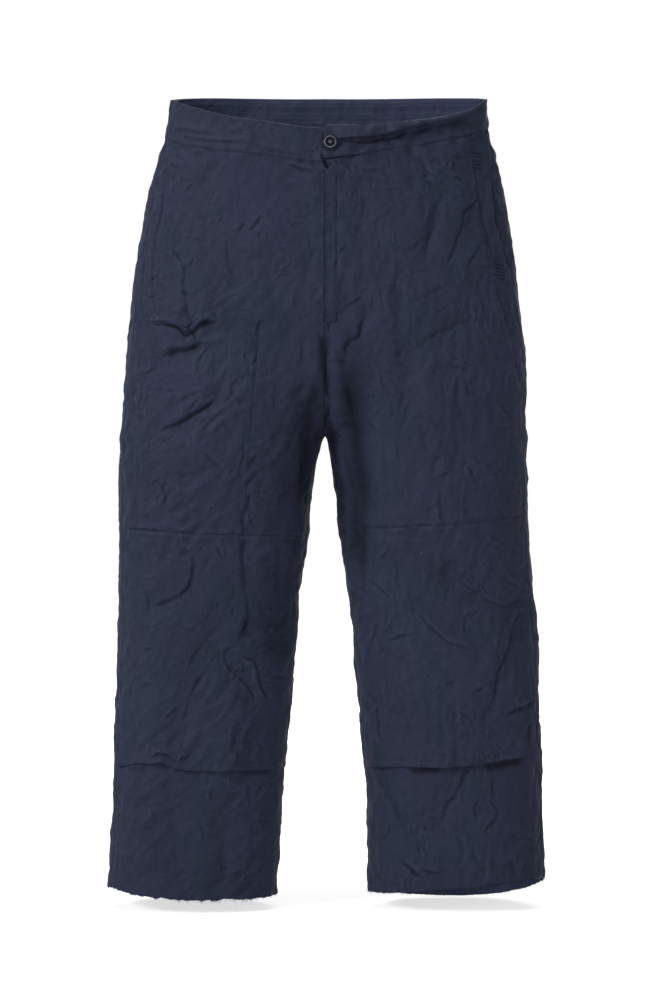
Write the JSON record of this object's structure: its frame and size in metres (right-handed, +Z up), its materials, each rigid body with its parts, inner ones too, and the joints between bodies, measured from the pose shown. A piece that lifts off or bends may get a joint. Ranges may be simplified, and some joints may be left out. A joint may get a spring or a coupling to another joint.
{
  "type": "rain trousers",
  "caption": "Cropped dark navy rain trousers, hollow as worn, with a buttoned waistband, a fly, a thigh patch pocket and loose-hemmed double knees.",
  "frame": {"origin": "middle of the waist opening, about halfway up the waistband, where the wearer's waist holds the trousers", "axes": "+Z up along the legs, -Y the front with the fly, +X the wearer's left side"},
  "size_m": [0.5108, 0.2044, 0.9503],
  "materials": {
    "shell_cloth": "tightly woven matt nylon and cotton shell cloth, dark navy, finely crumpled",
    "band_cloth": "the same shell cloth doubled and topstitched into a waistband",
    "button_metal": "glossy dark tack button with a raised rim"
  },
  "bodies": {
    "root": {"front_right": "shell_cloth", "back_right": "shell_cloth", "front_left": "shell_cloth", "back_left": "shell_cloth", "knee_panel_right": "shell_cloth", "knee_panel_left": "shell_cloth", "thigh_pocket_right": "shell_cloth", "fly_placket": "shell_cloth", "waistband_right": "band_cloth", "waistband_left": "band_cloth", "waistband_left_end": "band_cloth", "waistband_back": "band_cloth", "button": "button_metal"}
  },
  "joints": []
}
